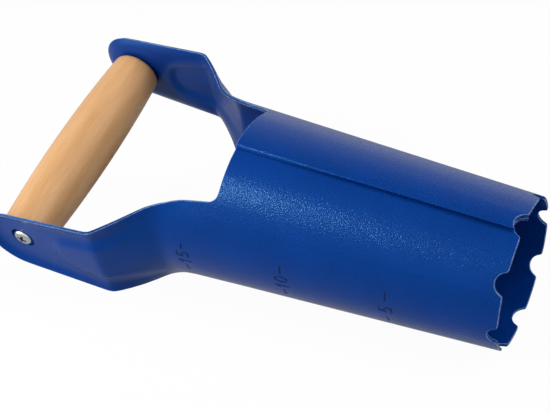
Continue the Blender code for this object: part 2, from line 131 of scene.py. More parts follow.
def modified(bm, add_modifiers):
    """The bmesh as Blender evaluates it with some modifiers on it."""
    mesh = bpy.data.meshes.new("draft")
    bm.to_mesh(mesh)
    bm.free()
    draft = bpy.data.objects.new("draft", mesh)
    bpy.context.scene.collection.objects.link(draft)
    add_modifiers(draft)
    shown = draft.evaluated_get(bpy.context.evaluated_depsgraph_get())
    result = bmesh.new()
    result.from_mesh(shown.data)
    bpy.data.objects.remove(draft)
    bpy.data.meshes.remove(mesh)
    return result


def sharp_edges(bm, angle):
    return [edge for edge in bm.edges if edge.calc_face_angle(0) > angle]


# %% [markdown]
# ## Helpers for materials
#
# A material is a tree of nodes. Most of these helpers add one node, set it, feed its sockets and
# give back the socket that the next node needs. A value may be a plain number or another node's
# socket. The scale of a noise is about how many of its bumps fit in a metre.

# %% Add nodes
def new_material(name):
    """A material, its node tree and its Principled shader."""
    material = bpy.data.materials.new(name)
    material.use_nodes = True
    tree = material.node_tree
    return material, tree, tree.nodes["Principled BSDF"]


def add_node(tree, kind, **settings):
    node = tree.nodes.new(kind)
    for key, value in settings.items():
        setattr(node, key, value)
    return node


def feed(tree, socket, value):
    """Gives a socket a plain value or the value of another socket."""
    if isinstance(value, bpy.types.NodeSocket):
        tree.links.new(value, socket)
    else:
        socket.default_value = value


def add_math(tree, operation, *values):
    node = add_node(tree, "ShaderNodeMath", operation=operation)
    for socket, value in zip(node.inputs, values):
        feed(tree, socket, value)
    return node.outputs["Value"]


def add_range(tree, value, start, end, low, high, interpolation="LINEAR"):
    """Maps a value that runs from start to end onto low to high."""
    node = add_node(tree, "ShaderNodeMapRange", interpolation_type=interpolation)
    names = ("Value", "From Min", "From Max", "To Min", "To Max")
    for name, given in zip(names, (value, start, end, low, high)):
        feed(tree, node.inputs[name], given)
    return node.outputs["Result"]


# %% Add colours, noises and bumps
def grey(value):
    return (value, value, value)


def shaded(colour, share):
    return tuple(share * value for value in colour)


def add_attribute(tree, name):
    return add_node(tree, "ShaderNodeAttribute", attribute_name=name).outputs["Fac"]


def add_noise(tree, coordinates, scale, detail=2.0, roughness=0.5):
    noise = add_node(tree, "ShaderNodeTexNoise")
    noise.inputs["Scale"].default_value = scale
    noise.inputs["Detail"].default_value = detail
    noise.inputs["Roughness"].default_value = roughness
    tree.links.new(coordinates, noise.inputs["Vector"])
    return noise.outputs["Fac"]


def add_ramp(tree, factor, first, last):
    """A colour ramp between two (position, colour) stops."""
    ramp = add_node(tree, "ShaderNodeValToRGB")
    for element, (position, colour) in zip(ramp.color_ramp.elements, (first, last)):
        element.position = position
        element.color = (*colour, 1)
    tree.links.new(factor, ramp.inputs["Fac"])
    return ramp.outputs["Color"]


def mix_colour(tree, factor, first, second, blend="MIX"):
    mix = add_node(tree, "ShaderNodeMix", data_type="RGBA", blend_type=blend)
    feed(tree, mix.inputs["Factor"], factor)
    for name, value in (("A", first), ("B", second)):
        feed(tree, mix.inputs[name], (*value, 1) if isinstance(value, tuple) else value)
    return mix.outputs["Result"]


def add_bump(tree, shader, height, distance):
    bump = add_node(tree, "ShaderNodeBump")
    bump.inputs["Distance"].default_value = distance
    bump.inputs["Strength"].default_value = 1.0
    tree.links.new(height, bump.inputs["Height"])
    tree.links.new(bump.outputs["Normal"], shader.inputs["Normal"])


# %% [markdown]
# ## Powder coat
#
# The sheet is painted with blue powder, melted in an oven. It has a soft gloss, and a fine orange
# peel: low bumps about half a millimetre across, which break a lamp's reflection up into grains.
# They could be modelled, but that would take millions of faces, so a bump node over a noise
# makes them. The glare on the real tool is bluish, so the gloss is tinted.
#
# Two attributes on the mesh mark the cut edges. Where "cut_face" is 1, on the face that the punch
# left and in the seam's step, the blue is darkened: painted shade. Where "cut_corner" is 1, on
# that face's corners, it is pale: partly wear, partly a painted highlight. A noise breaks the pale
# line up.

# %% Powder coat
BLUE = (0.000, 0.0290, 0.194)
# The pale blue of the cut corners is partly wear, partly a painted highlight.
WORN_AND_GLINT_BLUE = (0.110, 0.210, 0.520)
# The dark blue of the cut faces is painted shade.
CUT_SHADE_BLUE = (0.001, 0.015, 0.105)
GLOSS_TINT = (0.260, 0.67, 1.00)
COAT_ROUGHNESS = 0.245
COAT_SPECULAR = 0.295
PATCH_SCALE = 45.0
PATCH_RANGE = (0.30, 0.70)
PATCH_SHADES = (0.93, 1.07)
CHIP_SCALE = 700.0
CHIP_RANGE = (0.35, 0.60)
LEAST_PALE = 0.35
ORANGE_PEEL = 0.56 * MM
PEEL_DEPTH = 0.125 * MM


def powder_coat():
    material, tree, shader = new_material("blue_powder_coat")
    place = add_node(tree, "ShaderNodeTexCoord").outputs["Object"]
    patches = add_noise(tree, place, PATCH_SCALE, detail=3.0)
    patch_tones = [shaded(BLUE, share) for share in PATCH_SHADES]
    coat = add_ramp(tree, patches, *zip(PATCH_RANGE, patch_tones))
    # Painted shade on the cut faces and in the stamped grooves.
    coat = mix_colour(tree, add_attribute(tree, "cut_face"), coat, CUT_SHADE_BLUE)
    chips = add_noise(tree, place, CHIP_SCALE)
    chip_share = add_ramp(tree, chips, *zip(CHIP_RANGE, (grey(LEAST_PALE), grey(1))))
    # The pale cut corners: partly wear, partly a painted highlight, broken up by a noise.
    wear_and_glint = add_math(tree, "MULTIPLY", add_attribute(tree, "cut_corner"), chip_share)
    tree.links.new(mix_colour(tree, wear_and_glint, coat, WORN_AND_GLINT_BLUE), shader.inputs["Base Color"])

    peel = add_noise(tree, place, 1 / ORANGE_PEEL, detail=0.0)
    add_bump(tree, shader, peel, PEEL_DEPTH)
    shader.inputs["Roughness"].default_value = COAT_ROUGHNESS
    shader.inputs["Specular IOR Level"].default_value = COAT_SPECULAR
    shader.inputs["Specular Tint"].default_value = (*GLOSS_TINT, 1)
    return material


powder = powder_coat()

# %% [markdown]
# ## The sheet
#
# The frame's sheet has flat facets, where real rolled sheet is smooth. In its copy most of the
# triangles are joined back into four-sided faces, and one level of subdivision turns the facets
# into smooth curves. The cut edges are creased first, so that they stay sharp. Remeshing would
# smooth the sheet too, but it would round the teeth off.

# %% Join the triangles and crease the cut edges
FLAT_ANGLE = math.radians(25)
CORNER_ANGLE = math.radians(75)
CUT_ANGLE = math.radians(50)

sheet = merged_copy("planter_body")
print("sheet:", len(sheet.faces), "triangles")
bmesh.ops.join_triangles(sheet, faces=sheet.faces, angle_face_threshold=FLAT_ANGLE,
                         angle_shape_threshold=CORNER_ANGLE)
crease = sheet.edges.layers.float.new("crease_edge")
creased = set(sharp_edges(sheet, CUT_ANGLE))
for edge in creased:
    edge[crease] = 1.0
print("joined faces:", len(sheet.faces), "creased edges:", len(creased))

# %% [markdown]
# ## Cut faces
#
# The creased edges part the sheet's faces into groups. The two largest are its outside and its
# inside, and the small ones between them are the faces that the punch left. They are marked for
# painted shade, which darkens them, while the creases still show where they end. A value at each
# corner of a face lets the mark fade along the seam, whose cut face is hidden by paint near the
# tube's rim. The cups for the screws are pressed, so they get no mark.

# %% Mark the cut faces
CUP_CLEAR = 9.5 * MM
SEAM_HALF = 12.0 * MM
SEAM_FADES = (72 * MM, 105 * MM)


def parts_between(bm, borders):
    """The bmesh's faces in groups, which the border edges keep apart."""
    left = set(bm.faces)
    groups = []
    while left:
        group = [left.pop()]
        for face in group:
            for edge in face.edges:
                if edge not in borders:
                    beside = [other for other in edge.link_faces if other in left]
                    left.difference_update(beside)
                    group.extend(beside)
        groups.append(group)
    return groups


def from_grip_axis(place):
    """How far a place in the tool's axes is from the line through the screws."""
    return math.hypot(place.x + reach, place.z)


def near_seam(place):
    return abs(place.y) < SEAM_HALF and place.z > 0


def fillet_share(place):
    """0 along the seam from the teeth, 1 near the rim."""
    share = (-place.x - SEAM_FADES[0]) / (SEAM_FADES[1] - SEAM_FADES[0])
    return max(0.0, min(1.0, share))


def cut_shade_share(place):
    """How strongly a cut face is darkened with painted shade."""
    if from_grip_axis(place) < CUP_CLEAR:
        return 0.0
    return 1 - fillet_share(place) if near_seam(place) else 1.0


cut_layer = sheet.loops.layers.float.new("cut_face")
groups = parts_between(sheet, creased)
groups.sort(key=lambda group: sum(face.calc_area() for face in group), reverse=True)
cut_faces = [face for group in groups[2:] for face in group]
for face in cut_faces:
    for loop in face.loops:
        loop[cut_layer] = cut_shade_share(to_tool @ loop.vert.co)
print("groups of faces:", len(groups), "cut faces:", len(cut_faces))

# %% Subdivide the sheet
def add_subdivision(draft):
    smooth = draft.modifiers.new("smooth", "SUBSURF")
    smooth.levels = 1
    smooth.render_levels = 1


sheet = modified(sheet, add_subdivision)
print("smoothed sheet:", len(sheet.faces), "faces")

# %% [markdown]
# ## Pressed panels
#
# A press leaves soft folds in the arms. The frame's folds are crisp lines, so the points of the
# arms are drawn a little towards their neighbours. The cut edges and the screws' cups keep
# their shape.

# %% Soften the pressed panels
WEB_BESIDE = 45 * MM
WEB_BEHIND = (165 * MM, 250 * MM)
CUP_BESIDE = 15 * MM
SOFTENING = 3


def on_web(vert):
    """True for the points of the arms' webs that are away from the cut edges and the cups."""
    place = to_tool @ vert.co
    if abs(place.y) < WEB_BESIDE or from_grip_axis(place) < CUP_BESIDE:
        return False
    if not WEB_BEHIND[0] < -place.x < WEB_BEHIND[1]:
        return False
    return all(edge.calc_face_angle(0) < CUT_ANGLE for edge in vert.link_edges)


web_verts = [vert for vert in sheet.verts if on_web(vert)]
for _ in range(SOFTENING):
    bmesh.ops.smooth_vert(sheet, verts=web_verts, factor=0.5, use_axis_x=True, use_axis_y=True,
                          use_axis_z=True)
sheet.normal_update()
print("points softened:", len(web_verts))

# %% [markdown]
# ## The lap seam
#
# One edge of the sheet laps over the other along the tube. At the teeth its step is open and
# throws a dark line. Towards the rim the two layers are pressed tight and the paint fills the
# step, so that only a faint line is left. A separate strip of paint could cover the step, but
# its own edges would show. So the step's points are moved instead: its foot goes down to the
# inner layer and a little sideways, and its top edge sinks.

# %% Fill the seam near the rim
FILLET_WIDE = 0.7 * MM
STEP_DROP = 0.6 * MM
LAP_GAP_AT_RIM = 0.3 * MM
LAP_GAP_AT_TEETH = 0.7 * MM
LEAST_STEP = 0.1 * MM
TUBE_LONG = 155 * MM
TO_NEAR_SIDE = -0.7


def is_seam_step(face):
    """True for the cut faces of the seam's outer layer, which look to the near side."""
    place = to_tool @ face.calc_center_median()
    looks = to_tool.to_3x3() @ face.normal
    return near_seam(place) and fillet_share(place) > 0 and looks.y < TO_NEAR_SIDE


def filled(place, depth):
    """The new place of a point of the step, where depth is 0 at its top and 1 at its foot."""
    top_share = fillet_share(place)
    share = top_share * depth
    along_tube = min(-place.x / TUBE_LONG, 1)
    gap = LAP_GAP_AT_TEETH + (LAP_GAP_AT_RIM - LAP_GAP_AT_TEETH) * along_tube
    radius = math.hypot(place.y, place.z) - gap * share - STEP_DROP * (top_share - share)
    angle = math.atan2(-place.y, place.z) + FILLET_WIDE * share / radius
    return Vector((place.x, -radius * math.sin(angle), radius * math.cos(angle)))


seam_verts = {vert for face in sheet.faces if is_seam_step(face) for vert in face.verts}
stations = {}
for vert in seam_verts:
    place = to_tool @ vert.co
    stations.setdefault(round(place.x / MM, 1), []).append((math.hypot(place.y, place.z), vert))
for layers in stations.values():
    highest = max(radius for radius, _ in layers)
    lowest = min(radius for radius, _ in layers)
    for radius, vert in layers:
        depth = (highest - radius) / max(highest - lowest, LEAST_STEP)
        vert.co = tool @ filled(to_tool @ vert.co, depth)
sheet.normal_update()
print("points of the seam moved:", len(seam_verts), "at", len(stations), "places along it")

# %% [markdown]
# ## Cut edges
#
# Real punched and painted sheet has edges rounded by about 0.3 mm, which shows as a thin line
# along every rim. They are bevelled now and not before the subdivision,
# which would pull a bevel wide by the large faces beside it. The new faces are marked as
# corners, which the paint makes pale: partly wear, partly a painted highlight.

# %% Round the cut edges
EDGE_ROUND = 0.30 * MM
NEARLY_ALONG = 0.9


def has_no_pale_edge(face):
    """True for a corner in a cup, and for one that runs along the seam."""
    place = to_tool @ face.calc_center_median()
    lengthwise = max(face.edges, key=lambda edge: edge.calc_length())
    run = (lengthwise.verts[1].co - lengthwise.verts[0].co).normalized()
    in_seam = near_seam(place) and abs(run.dot(along)) > NEARLY_ALONG
    return in_seam or from_grip_axis(place) < CUP_CLEAR


corner_layer = sheet.faces.layers.float.new("cut_corner")
cut_edges = sharp_edges(sheet, CUT_ANGLE)
rounded = bmesh.ops.bevel(sheet, geom=cut_edges, affect="EDGES", offset=EDGE_ROUND, segments=2,
                          profile=0.5, material=-1, clamp_overlap=False)
for face in rounded["faces"]:
    if not has_no_pale_edge(face):
        face[corner_layer] = 1.0
print("cut edges rounded:", len(cut_edges), "faces now:", len(sheet.faces))

# %% [markdown]
# ## Depth marks
#
# Numbers at 5, 10 and 15 cm from the teeth are stamped into the near side, with a short line on
# both sides of each, and painted over. They could be cut with a Boolean, but a cut leaves long
# thin faces that shade badly on a curved wall. A press makes a soft groove, so here each mark
# gets a fine grid of faces, made with bisecting planes, and the points of the grid sink near a
# stroke. The shade in the groove is painted: the same points get the painted shade of a cut face.
#
# A place on the wall is given by u, the length round the wall towards the seam, and v, the
# length towards the grip. A digit is a few lines and arcs in a box of width 1 and height 1.

# %% Draw the strokes of the marks
MARK_REACHES = {"5": 50 * MM, "10": 100 * MM, "15": 150 * MM}
DIGIT_TALL = 6.0 * MM
DIGIT_WIDE = 3.4 * MM
DIGIT_STEP = 5.0 * MM
LINE_NEAR = 6.4 * MM
LINE_FAR = 10.6 * MM


def arc_share(centre, radius, start, end, steps):
    """Points of an arc, as shares of a digit's width and height."""
    turns = [math.radians(start + (end - start) * i / steps) for i in range(steps + 1)]
    return [(centre[0] + radius[0] * math.cos(turn), centre[1] + radius[1] * math.sin(turn))
            for turn in turns]


DIGIT_SHARES = {
    "0": [arc_share((0.5, 0.5), (0.5, 0.5), 0, 360, 16)],
    "1": [[(0.15, 0.72), (0.55, 1.0), (0.55, 0.0)]],
    "5": [[(0.95, 1.0), (0.15, 1.0), (0.08, 0.55)] + arc_share((0.46, 0.32), (0.5, 0.32), 125, -140, 12)],
}


def mark_strokes(text):
    """The strokes of a mark as lists of (u, v)."""
    strokes = [[(side * LINE_NEAR, 0), (side * LINE_FAR, 0)] for side in (-1, 1)]
    start = -(DIGIT_STEP * (len(text) - 1) + DIGIT_WIDE) / 2
    for i, digit in enumerate(text):
        for stroke in DIGIT_SHARES[digit]:
            strokes.append([(start + i * DIGIT_STEP + x * DIGIT_WIDE, (y - 0.5) * DIGIT_TALL)
                            for x, y in stroke])
    return strokes


def stroke_distance(u, v, strokes):
    """How far a place is from the nearest stroke."""
    place = Vector((u, v))
    nearest = math.inf
    for stroke in strokes:
        for start, end in zip(stroke, stroke[1:]):
            start, end = Vector(start), Vector(end)
            run = end - start
            share = min(max((place - start).dot(run) / run.length_squared, 0), 1)
            nearest = min(nearest, (place - start - run * share).length)
    return nearest


print({text: len(mark_strokes(text)) for text in MARK_REACHES}, "strokes")

# %% Cut a fine grid into the wall
STROKE_HALF = 0.70 * MM
MARK_ANGLE = math.radians(89)
CUT_MERGE = 0.001 * MM
MARK_HALF_WIDE = LINE_FAR + 2 * STROKE_HALF
MARK_HALF_TALL = DIGIT_TALL / 2 + 2 * STROKE_HALF


def wall_place(point, mark_reach):
    """(u, v, radius) of a point of the wall, from the middle of a mark."""
    place = to_tool @ point
    radius = math.hypot(place.y, place.z)
    angle = math.atan2(-place.y, place.z)
    return (MARK_ANGLE - angle) * radius, -place.x - mark_reach, radius


def faces_inside(faces, mark_reach, half_wide, half_tall):
    """The outward faces whose middle is within a mark's box."""
    inside = []
    for face in faces:
        centre = face.calc_center_median()
        u, v, _ = wall_place(centre, mark_reach)
        outwards = centre - (tool @ Vector(((to_tool @ centre).x, 0, 0)))
        if abs(u) < half_wide and abs(v) < half_tall and face.normal.dot(outwards) > 0:
            inside.append(face)
    return inside


def cut_grid(bm, faces, planes):
    """Cuts the faces with each (point, normal) plane and returns all of their pieces."""
    geometry = list({item for face in faces for item in [face, *face.edges, *face.verts]})
    for point, normal in planes:
        cut = bmesh.ops.bisect_plane(bm, geom=geometry, dist=CUT_MERGE, plane_co=point,
                                     plane_no=normal)
        geometry = cut["geom"]
    bm.normal_update()
    return [item for item in geometry if isinstance(item, bmesh.types.BMFace)]


def grid_planes(mark_reach, half_wide, half_tall, radius, step):
    """Planes a step apart over a mark's box, across the tube and along it."""
    tall = max(round(2 * half_tall / step), 1)
    wide = max(round(2 * half_wide / step), 1)
    planes = []
    for i in range(tall + 1):
        v = half_tall * (2 * i / tall - 1)
        planes.append((tool @ Vector((-(mark_reach + v), 0, 0)), along))
    for i in range(wide + 1):
        angle = MARK_ANGLE - half_wide * (2 * i / wide - 1) / radius
        normal = tool.to_3x3() @ Vector((0, -math.cos(angle), -math.sin(angle)))
        planes.append((tool.translation, normal))
    return planes


# %% Stamp the marks
STROKE_DEPTH = 0.42 * MM
# How strongly a stroke's groove is darkened: painted shade.
STROKE_SHADE = 1.5
GRID_STEP = 0.28 * MM
WHOLE_BOX = 2 * MARK_HALF_WIDE
WIDE_ROOM = 1.5
TALL_ROOM = 8


def sink_strokes(bm, faces, mark_reach, strokes):
    """Sinks the points near a stroke, darkens them with painted shade and returns how many there are."""
    groove_shade_layer = bm.loops.layers.float["cut_face"]
    moved = 0
    for vert in {vert for face in faces for vert in face.verts}:
        u, v, _ = wall_place(vert.co, mark_reach)
        nearness = 1 - stroke_distance(u, v, strokes) / STROKE_HALF
        if nearness > 0:
            share = nearness * (2 - nearness)
            vert.co -= vert.normal * STROKE_DEPTH * share * share
            for loop in vert.link_loops:
                loop[groove_shade_layer] = min(STROKE_SHADE * nearness, 1)
            moved += 1
    return moved


def stamp(bm, text, mark_reach):
    """Cuts round a mark's box, then a fine grid inside it, and sinks the strokes there."""
    near_by = faces_inside(bm.faces, mark_reach, WIDE_ROOM * MARK_HALF_WIDE, TALL_ROOM * MARK_HALF_TALL)
    radius = max(wall_place(face.calc_center_median(), mark_reach)[2] for face in near_by)
    size = (mark_reach, MARK_HALF_WIDE, MARK_HALF_TALL)
    boxed = cut_grid(bm, near_by, grid_planes(*size, radius, WHOLE_BOX))
    fine = cut_grid(bm, faces_inside(boxed, *size), grid_planes(*size, radius, GRID_STEP))
    moved = sink_strokes(bm, fine, mark_reach, mark_strokes(text))
    print(f"mark {text}: {len(fine)} fine faces, {moved} points sunk")


for text, mark_reach in MARK_REACHES.items():
    stamp(sheet, text, mark_reach)

make_piece("painted_sheet", sheet, powder, "planter_body")

# %% [markdown]
# ## Beech
#
# The grip is beech under clear lacquer. Beech is pale and pinkish, with fine short flecks along
# the grain and faint broad bands from its growth rings. Three noises make the bands, the grain
# and the flecks. They are stretched along the grip: a Mapping node turns the object's
# coordinates into the tool's own, where the grain runs along y.

# %% Beech
BEECH = (0.575, 0.330, 0.152)
DARK_BEECH = (0.521, 0.277, 0.115)
FLECK = (0.470, 0.240, 0.090)
BAND_SCALE = 150.0
BAND_STRETCH = 0.12
BAND_RANGE = (0.35, 0.65)
GRAIN_SCALE = 1400.0
GRAIN_STRETCH = 0.05
GRAIN_RANGE = (0.40, 0.62)
GRAIN_SHADES = (0.95, 1.03)
GRAIN_DEPTH = 0.012 * MM
FLECK_SCALE = 1100.0
FLECK_STRETCH = 0.22
FLECK_RANGE = (0.66, 0.76)
FLECK_SHARE = 0.40
WOOD_ROUGHNESS = 0.45
WOOD_SPECULAR = 0.25
LACQUER = 0.20
LACQUER_ROUGHNESS = 0.25


def along_grain(tree, coordinates, stretch):
    """The tool's own coordinates, with its y pressed together by a share."""
    mapping = add_node(tree, "ShaderNodeMapping")
    mapping.inputs["Rotation"].default_value = to_tool.to_euler()
    mapping.inputs["Location"].default_value = to_tool.translation
    tree.links.new(coordinates, mapping.inputs["Vector"])
    pressed = add_node(tree, "ShaderNodeVectorMath", operation="MULTIPLY")
    pressed.inputs[1].default_value = (1, stretch, 1)
    tree.links.new(mapping.outputs["Vector"], pressed.inputs[0])
    return pressed.outputs["Vector"]


def lacquered_beech():
    material, tree, shader = new_material("lacquered_beech")
    place = add_node(tree, "ShaderNodeTexCoord").outputs["Object"]
    bands = add_noise(tree, along_grain(tree, place, BAND_STRETCH), BAND_SCALE)
    band_share = add_ramp(tree, bands, *zip(BAND_RANGE, (grey(0), grey(1))))
    wood = mix_colour(tree, band_share, BEECH, DARK_BEECH)
    grain = add_noise(tree, along_grain(tree, place, GRAIN_STRETCH), GRAIN_SCALE, detail=3.0,
                      roughness=0.6)
    shades = add_ramp(tree, grain, *zip(GRAIN_RANGE, map(grey, GRAIN_SHADES)))
    wood = mix_colour(tree, 1.0, wood, shades, "MULTIPLY")
    flecks = add_noise(tree, along_grain(tree, place, FLECK_STRETCH), FLECK_SCALE, detail=1.0)
    fleck_share = add_ramp(tree, flecks, *zip(FLECK_RANGE, (grey(0), grey(FLECK_SHARE))))
    tree.links.new(mix_colour(tree, fleck_share, wood, FLECK), shader.inputs["Base Color"])
    add_bump(tree, shader, grain, GRAIN_DEPTH)
    shader.inputs["Roughness"].default_value = WOOD_ROUGHNESS
    shader.inputs["Specular IOR Level"].default_value = WOOD_SPECULAR
    shader.inputs["Coat Weight"].default_value = LACQUER
    shader.inputs["Coat Roughness"].default_value = LACQUER_ROUGHNESS
    return material


beech = lacquered_beech()

# %% [markdown]
# ## The grip
#
# The grip is turned on a lathe, so it is a profile spun round an axis. The profile starts in the
# pilot bore of one screw, steps out to the counterbore that takes the cup of the arm, goes round
# the end's soft corner and over the barrel to the middle. The other half is its mirror image.
# The length and the thickness are measured on the frame's grip.

# %% Turn the grip
def furthest_out(node):
    """The furthest |y| and the largest radius round the grip's axis of a node."""
    bm = merged_copy(node)
    places = [to_tool @ vert.co for vert in bm.verts]
    bm.free()
    return max(abs(place.y) for place in places), max(from_grip_axis(place) for place in places)


GRIP_HALF, GRIP_MIDDLE_RADIUS = furthest_out("grip")
GRIP_END_RADIUS = 12.5 * MM
GRIP_CORNER = 3.0 * MM
COUNTERBORE_RADIUS = 8.05 * MM
COUNTERBORE_DEPTH = 2.0 * MM
BORE_RADIUS = 2.5 * MM
BORE_DEPTH = 28.5 * MM
GRIP_SEGMENTS = 96
CORNER_STEPS = 8
BARREL_STEPS = 24
SPIN_MERGE = 0.002 * MM


def barrel_radius(y):
    share = y / GRIP_HALF
    return GRIP_MIDDLE_RADIUS + (GRIP_END_RADIUS - GRIP_MIDDLE_RADIUS) * share * share


def grip_profile():
    """(radius, y) points from the bore's bottom to the middle of the barrel."""
    points = [(0, GRIP_HALF - BORE_DEPTH), (BORE_RADIUS, GRIP_HALF - BORE_DEPTH),
              (BORE_RADIUS, GRIP_HALF - COUNTERBORE_DEPTH),
              (COUNTERBORE_RADIUS, GRIP_HALF - COUNTERBORE_DEPTH), (COUNTERBORE_RADIUS, GRIP_HALF)]
    corner = GRIP_HALF - GRIP_CORNER
    centre = barrel_radius(corner) - GRIP_CORNER
    for i in range(CORNER_STEPS + 1):
        turn = math.pi / 2 * i / CORNER_STEPS
        points.append((centre + GRIP_CORNER * math.sin(turn), corner + GRIP_CORNER * math.cos(turn)))
    for i in range(1, BARREL_STEPS + 1):
        y = corner * (1 - i / BARREL_STEPS)
        points.append((barrel_radius(y), y))
    return points


def spun(profile, segments):
    """A closed turned shape: a (radius, y) profile spun round the y axis through the grip."""
    bm = bmesh.new()
    verts = [bm.verts.new((radius, y, 0)) for radius, y in profile]
    edges = [bm.edges.new(pair) for pair in zip(verts, verts[1:])]
    bmesh.ops.spin(bm, geom=verts + edges, cent=(0, 0, 0), axis=(0, 1, 0), angle=math.tau,
                   steps=segments, use_merge=True)
    bmesh.ops.remove_doubles(bm, verts=bm.verts, dist=SPIN_MERGE)
    bmesh.ops.recalc_face_normals(bm, faces=bm.faces)
    bm.transform(tool @ Matrix.Translation((-reach, 0, 0)))
    return bm


half = grip_profile()
grip_bm = spun(half + [(radius, -y) for radius, y in reversed(half[:-1])], GRIP_SEGMENTS)
make_piece("beech_grip", grip_bm, beech, "grip")
print(f"the grip is {2 * GRIP_HALF / MM:.1f} mm long and {2 * GRIP_MIDDLE_RADIUS / MM:.1f} mm thick")

# %% [markdown]
# ## Zinc
#
# The screws are bright zinc plate: a metal with a clouded gloss, so one noise drives its tone,
# its roughness and a very low bump. The cross recess is out of the light, so its shade is
# painted: the attribute "recess" makes the screw dark there, and no metal.

# %% Zinc
ZINC_TONES = ((0.62, 0.64, 0.66), (0.80, 0.82, 0.84))
ZINC_ROUGHNESS = (0.34, 0.22)
# Painted shade in the cross recess.
RECESS_SHADE = (0.07, 0.075, 0.085)
CLOUD_SCALE = 900.0
CLOUD_RANGE = (0.3, 0.7)
CLOUD_DEPTH = 0.01 * MM


def bright_zinc():
    material, tree, shader = new_material("bright_zinc")
    place = add_node(tree, "ShaderNodeTexCoord").outputs["Object"]
    clouds = add_noise(tree, place, CLOUD_SCALE, detail=3.0)
    tones = add_ramp(tree, clouds, *zip(CLOUD_RANGE, ZINC_TONES))
    recess = add_attribute(tree, "recess")
    tree.links.new(mix_colour(tree, recess, tones, RECESS_SHADE), shader.inputs["Base Color"])
    gloss = add_ramp(tree, clouds, *zip(CLOUD_RANGE, map(grey, ZINC_ROUGHNESS)))
    tree.links.new(gloss, shader.inputs["Roughness"])
    tree.links.new(add_math(tree, "SUBTRACT", 1.0, recess), shader.inputs["Metallic"])
    add_bump(tree, shader, clouds, CLOUD_DEPTH)
    return material


zinc = bright_zinc()

# %% [markdown]
# ## Screws
#
# A pan-head wood screw holds each end. It is turned like the grip: a domed head, a plain shank
# and a point. The cross recess is a pocket with sloping walls, so two tapered blocks are cut out
# of the head with a Boolean, which is clean here because the head is nearly flat. The sharp
# edges are then bevelled a little, so that they catch the light.

# %% Make the screws
HEAD_TOP, HEAD_RADIUS = furthest_out("grip_screw_right")
HEAD_HEIGHT = 3.0 * MM
HEAD_ROUND = 1.5 * MM
HEAD_DOME = 0.35 * MM
HEAD_EDGE = 0.07 * MM
SHANK_RADIUS = 2.2 * MM
SCREW_LENGTH = 28.0 * MM
SCREW_POINT = 6.0 * MM
RECESS_SPAN = 6.0 * MM
RECESS_WIDTH = 1.5 * MM
RECESS_DEPTH = 1.9 * MM
RECESS_ABOVE = 0.2 * MM
RECESS_FOOT = (0.45, 0.60)
RECESS_TURN = math.radians(20)
SHADE_BELOW = 0.1 * MM
HEAD_STEPS = 8
SCREW_SEGMENTS = 64


def screw_profile():
    """(radius, y) points from the top of the head to the point."""
    seat = HEAD_TOP - HEAD_HEIGHT
    flat = HEAD_RADIUS - HEAD_ROUND
    points = [(0, HEAD_TOP), (flat / 2, HEAD_TOP - HEAD_DOME / 4)]
    for i in range(HEAD_STEPS + 1):
        turn = math.pi / 2 * i / HEAD_STEPS
        points.append((flat + HEAD_ROUND * math.sin(turn),
                       HEAD_TOP - HEAD_DOME - HEAD_ROUND * (1 - math.cos(turn))))
    points += [(HEAD_RADIUS, seat), (SHANK_RADIUS, seat)]
    return points + [(SHANK_RADIUS, seat - SCREW_LENGTH + SCREW_POINT), (0, seat - SCREW_LENGTH)]


def recess_block(side, turn):
    """A block that narrows towards its bottom, across the top of the head."""
    bm = bmesh.new()
    bmesh.ops.create_cube(bm, size=1)
    for vert in bm.verts:
        low = side * vert.co.y < 0
        vert.co.x *= RECESS_SPAN * (RECESS_FOOT[0] if low else 1)
        vert.co.z *= RECESS_WIDTH * (RECESS_FOOT[1] if low else 1)
        vert.co.y = side * (-RECESS_DEPTH if low else RECESS_ABOVE)
    bm.transform(tool @ Matrix.Translation((-reach, side * HEAD_TOP, 0)) @ Matrix.Rotation(turn, 4, "Y"))
    return bm


def cut_away(bm, cutter):
    """The bmesh with the cutter's shape taken out."""
    mesh = bpy.data.meshes.new("cutter")
    cutter.to_mesh(mesh)
    cutter.free()
    block = bpy.data.objects.new("cutter", mesh)
    bpy.context.scene.collection.objects.link(block)

    def add_difference(draft):
        difference = draft.modifiers.new("cut", "BOOLEAN")
        difference.operation = "DIFFERENCE"
        difference.solver = "EXACT"
        difference.object = block

    result = modified(bm, add_difference)
    bpy.data.objects.remove(block)
    bpy.data.meshes.remove(mesh)
    return result


def mark_recess(bm):
    """Marks the faces of the cross recess for its painted shade."""
    recess_layer = bm.faces.layers.float.new("recess")
    for face in bm.faces:
        place = to_tool @ face.calc_center_median()
        below = HEAD_TOP - HEAD_DOME - abs(place.y)
        if from_grip_axis(place) < RECESS_SPAN / 2 and below > SHADE_BELOW:
            face[recess_layer] = 1.0


def make_screw(name, node, side):
    bm = spun([(radius, side * y) for radius, y in screw_profile()], SCREW_SEGMENTS)
    for turn in (RECESS_TURN, RECESS_TURN + math.pi / 2):
        bm = cut_away(bm, recess_block(side, turn))
    mark_recess(bm)
    bmesh.ops.bevel(bm, geom=sharp_edges(bm, CUT_ANGLE), affect="EDGES", offset=HEAD_EDGE,
                    segments=2, profile=0.5, material=-1, clamp_overlap=True)
    make_piece(name, bm, zinc, node)


make_screw("near_screw", "grip_screw_right", -1)
make_screw("far_screw", "grip_screw_left", 1)

# %% [markdown]
# ## The floor
#
# The floor is plain white with a faint shadow. More light would make it white, but it would
# brighten the tool too. So the camera sees a floor that glows at strength 1, and other light
# meets a plain grey one, which sends most of it back. A small share of the grey one is mixed in
# for the camera too, and keeps a trace of the tool's shadow.
#
# Gloss sees the floor less bright than the camera does, and darker still in a painted shadow of
# the far arm: a round place on the floor with a soft rim.

